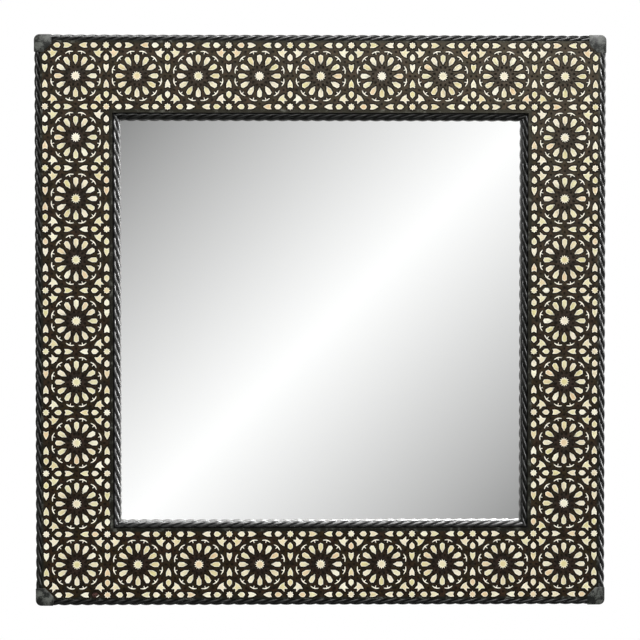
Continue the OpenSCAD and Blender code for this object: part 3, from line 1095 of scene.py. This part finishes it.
class MIRROR_OT_rails(bpy.types.Operator):
    """Finish the rails and the splines in their mitres"""

    bl_idname = "mirror.rails"
    bl_label = "Rails and splines"

    def execute(self, context):
        level, upright = ebonised(False), ebonised(True)
        for k, side in enumerate(SIDES):
            dressed(f"{side}_rail", upright if k % 2 else level, "root", "rail", 0.35 * MM)
        paint(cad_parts["mitre_splines"],
              wood("bare hardwood", (0.34, 0.2, 0.09, 1), (0.56, 0.38, 0.2, 1), 140.0))
        return {"FINISHED"}


class MIRROR_OT_back(bpy.types.Operator):
    """Finish the card and the board behind the glass"""

    bl_idname = "mirror.back"
    bl_label = "Card and board"

    def execute(self, context):
        board = pressed_board("brown hardboard", (0.14, 0.074, 0.036, 1), (0.21, 0.118, 0.06, 1),
                              150.0, 0.55)
        card = pressed_board("grey card", (0.2, 0.18, 0.15, 1), (0.34, 0.32, 0.27, 1), 110.0, 0.8)
        dressed("backing_board", board, "root", "board", 0.3 * MM)
        paint(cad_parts["spacer_card"], card)
        return {"FINISHED"}


class MIRROR_OT_hangers(bpy.types.Operator):
    """Finish the strap hangers, their D-rings and their screws"""

    bl_idname = "mirror.hangers"
    bl_label = "Hangers"

    def execute(self, context):
        nickel = plated("nickel plate", (0.62, 0.6, 0.56, 1), (0.36, 0.34, 0.31, 1))
        zinc = plated("zinc plate", (0.55, 0.56, 0.56, 1), (0.3, 0.3, 0.29, 1))
        for side in ("left", "right"):
            dressed(f"hanger_strap_{side}", nickel, "root", "hardware", 0.15 * MM)
            dressed(f"d_ring_{side}", nickel, f"d_ring_{side}", "hardware")
        dressed("hanger_screws", zinc, "root", "screw", 0.25 * MM)
        return {"FINISHED"}


class MIRROR_OT_turn_buttons(bpy.types.Operator):
    """Finish the turn buttons and their screws"""

    bl_idname = "mirror.turn_buttons"
    bl_label = "Turn buttons"

    def execute(self, context):
        brass = plated("brassed steel", (0.55, 0.4, 0.18, 1), (0.28, 0.19, 0.09, 1))
        zinc = plated("zinc screws", (0.55, 0.56, 0.56, 1), (0.3, 0.3, 0.29, 1))
        for name in sorted(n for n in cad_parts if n.startswith("turn_button_")):
            if name == "turn_button_screws":
                dressed(name, zinc, "root", "screw", 0.25 * MM)
            else:
                dressed(name, brass, name, "hardware", 0.25 * MM)
        return {"FINISHED"}


class MIRROR_OT_bumpers(bpy.types.Operator):
    """Finish the rubber bumpers"""

    bl_idname = "mirror.bumpers"
    bl_label = "Bumpers"

    def execute(self, context):
        dressed("wall_bumpers", rubber(), "root", "bumper", 0.8 * MM)
        return {"FINISHED"}


class MIRROR_OT_stage(bpy.types.Operator):
    """Set up the camera, lamps, background, floor and the card that the mirror reflects"""

    bl_idname = "mirror.stage"
    bl_label = "Stage"

    def execute(self, context):
        studio = context.scene.studio_settings
        context.scene.view_settings.view_transform = "Standard"
        self.camera(studio)
        self.world(studio)
        for name, place, size, gloss_only in LAMPS:
            deselect()
            bpy.ops.object.light_add(type="AREA", location=place)
            lamp = added(f"{name}_lamp")
            lamp.data.shape = "DISK"
            lamp.data.size = size
            lamp.data.energy = getattr(studio, f"{name}_power")
            lamp.rotation_euler = (-Vector(place)).to_track_quat("-Z", "Y").to_euler()
            lamp.visible_diffuse = not gloss_only
        self.floor()
        self.card(studio)
        return {"FINISHED"}

    @staticmethod
    def camera(studio):
        place = Vector((-studio.side, -studio.distance, studio.rise))
        deselect()
        bpy.ops.object.camera_add(location=place)
        camera = added("front_camera")
        aim = Vector((studio.aim[0], 0, studio.aim[1])) - place
        camera.rotation_euler = (
            math.radians(90) + math.atan2(aim.z, aim.y), 0, -math.atan2(aim.x, aim.y))
        camera.data.lens = studio.lens
        bpy.context.scene.camera = camera

    @staticmethod
    def world(studio):
        """White where it is seen or reflected, and dimmer as a light."""
        world = bpy.data.worlds.new("white studio")
        bpy.context.scene.world = world
        world.use_nodes = True
        nodes = Nodes(world.node_tree)
        path = nodes.add("LightPath", {})
        seen = nodes.math("MAXIMUM", path["Is Camera Ray"], path["Is Glossy Ray"])
        seen = nodes.math("MAXIMUM", seen, path["Is Transmission Ray"])
        background = nodes.tree.nodes["Background"].inputs
        background["Color"].default_value = (1, 1, 1, 1)
        nodes.link(nodes.span(seen, 0, 1, studio.world_light, 1.0), background["Strength"])

    @staticmethod
    def floor():
        """A pale floor below the mirror that fades into the background."""
        level, radius, fades_from, fades_to = -0.9, 1.5, 0.55, 1.45
        deselect()
        bpy.ops.mesh.primitive_circle_add(
            vertices=96, radius=radius, fill_type="NGON", location=(0, 0, level))
        floor = added("floor")
        m = Finish("pale floor", 0.7, 0.2)
        grit = m.mottle(30.0, 0.3, 0.8)["Mask"]
        from_middle = m.add("VectorMath", {0: m.where}, operation="LENGTH")["Value"]
        m.link(m.span(from_middle, fades_from, fades_to, 1, 0, "SMOOTHSTEP"), m.shader["Alpha"])
        paint(floor, m.finished(m.mix(grit, (0.86, 0.86, 0.85, 1), (0.9, 0.9, 0.89, 1))))

    @staticmethod
    def card(studio):
        """A card behind the camera, white along one diagonal, which only reflections see."""
        behind, width, fades_from, fades_to = 0.35, 2.4, 0.7, 1.15
        off_corner, brightest, loss = 0.0107, 1.058, 1.947 * 1.03
        # The card's middle is where the camera sees the mirror's middle reflected
        carry = (studio.distance + behind) / studio.distance
        middle = (studio.side * carry, -studio.distance - behind, -studio.rise * carry)
        deselect()
        bpy.ops.mesh.primitive_plane_add(
            size=width, location=middle, rotation=(math.radians(-90), 0, 0))
        card = added("reflected_card")
        material = bpy.data.materials.new("graded card")
        material.use_nodes = True
        nodes = Nodes(material.node_tree)
        nodes.tree.nodes.remove(nodes.tree.nodes["Principled BSDF"])
        where = nodes.add("TexCoord", {})["Object"]
        parts = nodes.add("SeparateXYZ", {0: where})
        # The card's own y axis points down, so x + y runs across the white diagonal
        slant = nodes.math("ADD", parts["X"], parts["Y"])
        off = nodes.math("MULTIPLY_ADD", slant, math.sqrt(0.5), -off_corner * (1 + carry))
        # Light lost for each metre off the diagonal on the mirror, carried back to the card
        glow = nodes.math(
            "MULTIPLY_ADD", nodes.math("ABSOLUTE", off), -loss / (1 + carry), brightest)
        reach = nodes.math("MAXIMUM", *[nodes.math("ABSOLUTE", parts[axis]) for axis in "XY"])
        past = nodes.span(reach, fades_from, fades_to, curve="SMOOTHSTEP")
        strength = nodes.between(past, glow, 1.0)
        light = nodes.add("Emission", {"Color": (1, 1, 1, 1), "Strength": strength})
        nodes.link(light[0], nodes.tree.nodes["Material Output"].inputs["Surface"])
        paint(card, material)
        card.visible_camera = card.visible_diffuse = card.visible_shadow = False
        card.visible_transmission = card.visible_volume_scatter = False


class MIRROR_PT_panel(bpy.types.Panel):
    """Sidebar panel with the sizes, the colours and a button for each step"""

    bl_idname = "MIRROR_PT_panel"
    bl_label = "Inlaid Mirror"
    bl_space_type = "VIEW_3D"
    bl_region_type = "UI"
    bl_category = "Mirror"

    def draw(self, context):
        for name in SETTINGS:
            group = getattr(context.scene, name)
            box = self.layout.box()
            for key in group.__annotations__:
                box.prop(group, key)
        for step in STEPS:
            self.layout.operator(step.bl_idname)


SETTINGS = {
    "pattern_sizes": PatternSizes,
    "rope_sizes": RopeSizes,
    "finish_colours": FinishColours,
    "studio_settings": StudioSettings,
}
STEPS = (
    MIRROR_OT_stage, MIRROR_OT_rails, MIRROR_OT_fretwork, MIRROR_OT_inlay,
    MIRROR_OT_lost_bead, MIRROR_OT_ropes, MIRROR_OT_corner_blocks, MIRROR_OT_glass,
    MIRROR_OT_back, MIRROR_OT_hangers, MIRROR_OT_turn_buttons, MIRROR_OT_bumpers,
)


def register():
    for settings in SETTINGS.values():
        bpy.utils.register_class(settings)
    for step in STEPS:
        bpy.utils.register_class(step)
    bpy.utils.register_class(MIRROR_PT_panel)
    for name, settings in SETTINGS.items():
        setattr(bpy.types.Scene, name, bpy.props.PointerProperty(type=settings))


def unregister():
    for name in SETTINGS:
        delattr(bpy.types.Scene, name)
    bpy.utils.unregister_class(MIRROR_PT_panel)
    for step in reversed(STEPS):
        bpy.utils.unregister_class(step)
    for settings in SETTINGS.values():
        bpy.utils.unregister_class(settings)


def main():
    register()
    bpy.ops.mirror.stage()
    bpy.ops.mirror.rails()
    bpy.ops.mirror.fretwork()
    bpy.ops.mirror.inlay()
    bpy.ops.mirror.lost_bead()
    bpy.ops.mirror.ropes()
    bpy.ops.mirror.corner_blocks()
    bpy.ops.mirror.glass()
    bpy.ops.mirror.back()
    bpy.ops.mirror.hangers()
    bpy.ops.mirror.turn_buttons()
    bpy.ops.mirror.bumpers()
    deselect()


if __name__ == "__main__":
    main()
